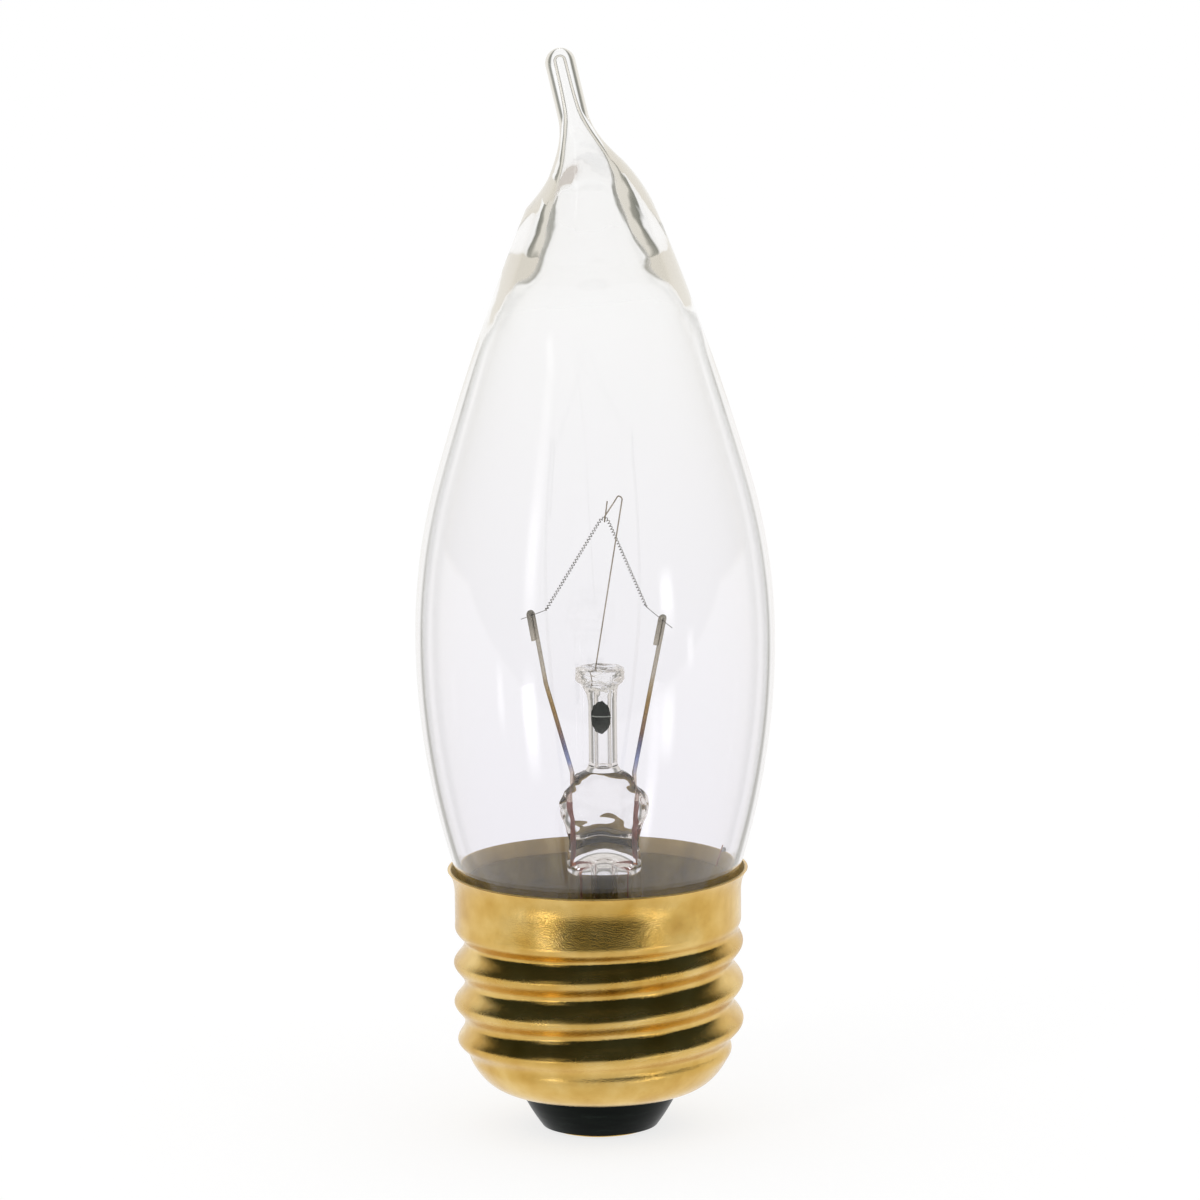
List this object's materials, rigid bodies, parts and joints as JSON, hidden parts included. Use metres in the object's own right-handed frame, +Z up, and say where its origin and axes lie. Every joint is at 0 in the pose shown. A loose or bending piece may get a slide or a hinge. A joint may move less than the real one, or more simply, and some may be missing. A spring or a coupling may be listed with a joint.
{
  "type": "candle bulb",
  "caption": "Clear candle lamp with a bent flame tip and a medium screw cap; the glass stem carries two leads, a V-shaped filament and its support wire.",
  "frame": {"origin": "centre of the end contact's flat face, which the lamp stands on", "axes": "+Z up the lamp axis from the contact to the glass tip, +X to the right with -Y as the front, so that the tip bends towards -X"},
  "size_m": [0.0324, 0.0324, 0.0984],
  "materials": {
    "clear_glass": "clear blown glass",
    "stem_glass": "clear pressed glass",
    "getter_coat": "matt dark coating",
    "tungsten": "drawn tungsten, dull grey",
    "molybdenum": "drawn molybdenum wire",
    "nickel_wire": "drawn nickel-plated wire with heat tint",
    "copper_clad_wire": "copper-clad sealing wire",
    "copper_wire": "copper wire",
    "brass_shell": "rolled brass, satin",
    "black_glass": "moulded black glass",
    "brass_contact": "stamped brass",
    "solder": "tin solder",
    "cement": "basing cement, matt"
  },
  "bodies": {
    "root": {"glass_envelope": "clear_glass", "stem_press": "stem_glass", "arbor": "stem_glass", "exhaust_tube": "stem_glass", "getter_patch": "getter_coat", "filament": "tungsten", "support_wire": "molybdenum", "left_lead_wire": "nickel_wire", "right_lead_wire": "nickel_wire", "left_seal_wire": "copper_clad_wire", "right_seal_wire": "copper_clad_wire", "side_lead_out": "copper_wire", "centre_lead_out": "copper_wire", "screw_shell": "brass_shell", "insulator": "black_glass", "centre_contact": "brass_contact", "contact_solder": "solder", "side_solder": "solder", "basing_cement": "cement"}
  },
  "joints": []
}
